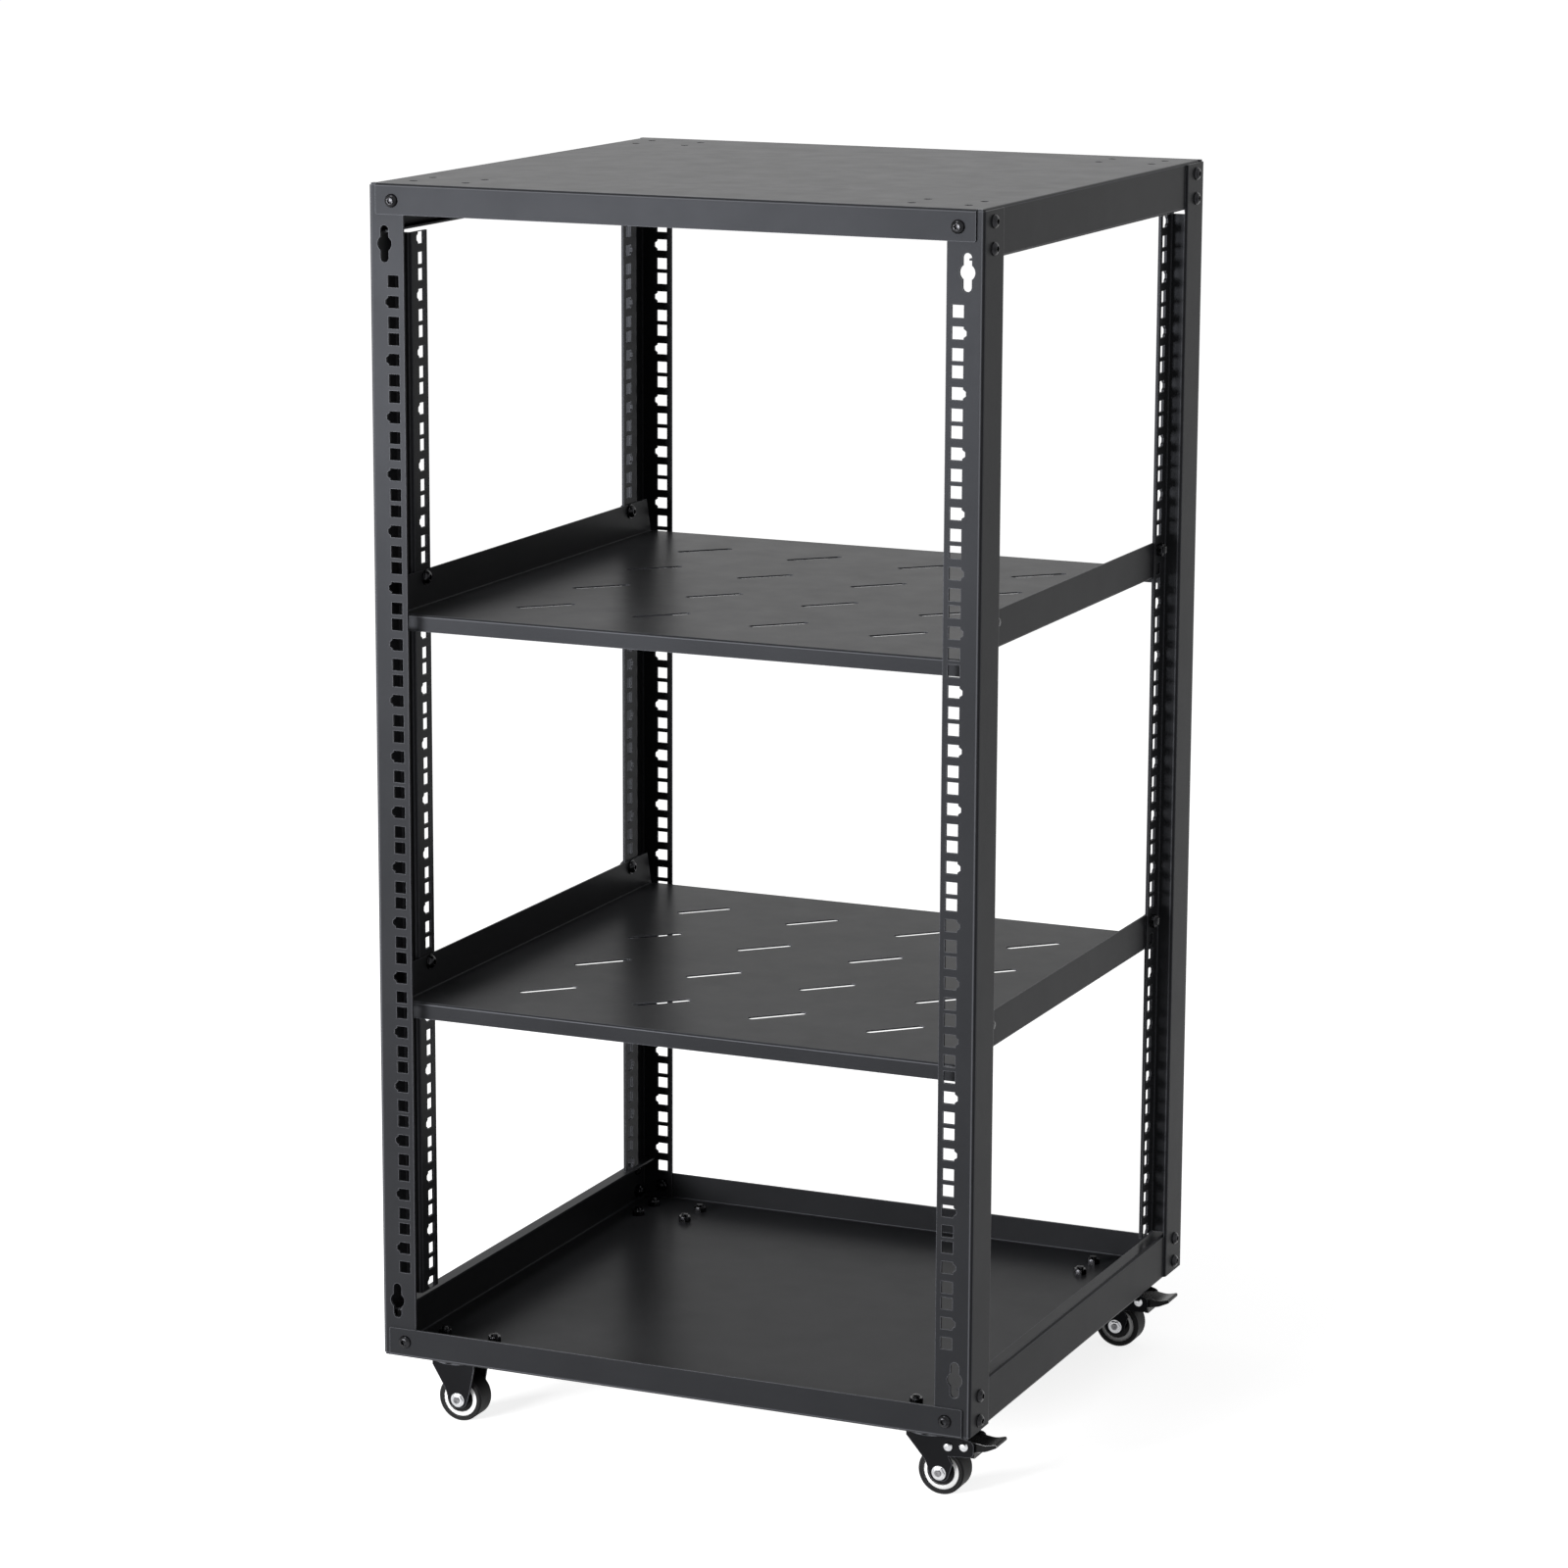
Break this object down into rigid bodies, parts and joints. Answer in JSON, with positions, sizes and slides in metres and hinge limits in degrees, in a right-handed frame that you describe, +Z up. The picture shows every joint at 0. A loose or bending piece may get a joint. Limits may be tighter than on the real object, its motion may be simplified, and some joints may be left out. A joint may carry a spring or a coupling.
{
  "type": "equipment rack",
  "caption": "Open frame rack with bent sheet posts, square rail holes, a folded top panel and bottom tray, slotted shelves, and swivel casters with brake pedals on one side",
  "frame": {"origin": "centre of the rack's footprint, on the floor under the casters", "axes": "+Z up, front of the rack towards -Y, right side seen from the front towards +X"},
  "size_m": [0.515, 0.49, 0.9975],
  "materials": {
    "frame_paint": "fine textured satin powder coat, near black",
    "caster_paint": "smooth black coating on pressed steel",
    "pin_steel": "bright zinc plated pins",
    "rim_plastic": "light grey moulded plastic",
    "tyre": "black rubber",
    "pedal_plastic": "black moulded plastic"
  },
  "bodies": {
    "frame": {"post_front_left": "frame_paint", "post_front_right": "frame_paint", "post_rear_left": "frame_paint", "post_rear_right": "frame_paint", "top_panel": "frame_paint", "bottom_tray": "frame_paint", "upper_shelf": "frame_paint", "lower_shelf": "frame_paint", "caster_plate_front_left": "caster_paint", "caster_plate_front_right": "caster_paint", "caster_plate_rear_left": "caster_paint", "caster_plate_rear_right": "caster_paint"},
    "swivel_front_left": {"fork_front_left": "caster_paint", "axle_front_left": "pin_steel"},
    "wheel_front_left": {"rim_front_left": "rim_plastic", "tyre_front_left": "tyre"},
    "swivel_front_right": {"fork_front_right": "caster_paint", "axle_front_right": "pin_steel", "pedal_pin_front_right": "pin_steel", "brace_front_right": "pin_steel"},
    "wheel_front_right": {"rim_front_right": "rim_plastic", "tyre_front_right": "tyre"},
    "pedal_front_right": {"pedal_front_right": "pedal_plastic"},
    "swivel_rear_left": {"fork_rear_left": "caster_paint", "axle_rear_left": "pin_steel"},
    "wheel_rear_left": {"rim_rear_left": "rim_plastic", "tyre_rear_left": "tyre"},
    "swivel_rear_right": {"fork_rear_right": "caster_paint", "axle_rear_right": "pin_steel", "pedal_pin_rear_right": "pin_steel", "brace_rear_right": "pin_steel"},
    "wheel_rear_right": {"rim_rear_right": "rim_plastic", "tyre_rear_right": "tyre"},
    "pedal_rear_right": {"pedal_rear_right": "pedal_plastic"}
  },
  "joints": [
    {"name": "swivel_turn_front_left", "type": "hinge", "parent": "frame", "child": "swivel_front_left", "pos_m": [-0.2065, -0.199, 0.0515], "axis": [0, 0, 1], "continuous": true},
    {"name": "wheel_spin_front_left", "type": "hinge", "parent": "swivel_front_left", "child": "wheel_front_left", "pos_m": [-0.2025, -0.199, 0.019], "axis": [0, 1, 0], "continuous": true},
    {"name": "swivel_turn_front_right", "type": "hinge", "parent": "frame", "child": "swivel_front_right", "pos_m": [0.2065, -0.199, 0.0515], "axis": [0, 0, 1], "continuous": true},
    {"name": "wheel_spin_front_right", "type": "hinge", "parent": "swivel_front_right", "child": "wheel_front_right", "pos_m": [0.2155, -0.199, 0.019], "axis": [0, 1, 0], "continuous": true},
    {"name": "pedal_lift_front_right", "type": "hinge", "parent": "swivel_front_right", "child": "pedal_front_right", "pos_m": [0.236, -0.199, 0.043], "axis": [0, -1, 0], "range_deg": [0, 10]},
    {"name": "swivel_turn_rear_left", "type": "hinge", "parent": "frame", "child": "swivel_rear_left", "pos_m": [-0.2065, 0.199, 0.0515], "axis": [0, 0, 1], "continuous": true},
    {"name": "wheel_spin_rear_left", "type": "hinge", "parent": "swivel_rear_left", "child": "wheel_rear_left", "pos_m": [-0.2025, 0.199, 0.019], "axis": [0, 1, 0], "continuous": true},
    {"name": "swivel_turn_rear_right", "type": "hinge", "parent": "frame", "child": "swivel_rear_right", "pos_m": [0.2065, 0.199, 0.0515], "axis": [0, 0, 1], "continuous": true},
    {"name": "wheel_spin_rear_right", "type": "hinge", "parent": "swivel_rear_right", "child": "wheel_rear_right", "pos_m": [0.2155, 0.199, 0.019], "axis": [0, 1, 0], "continuous": true},
    {"name": "pedal_lift_rear_right", "type": "hinge", "parent": "swivel_rear_right", "child": "pedal_rear_right", "pos_m": [0.236, 0.199, 0.043], "axis": [0, -1, 0], "range_deg": [0, 10]}
  ]
}
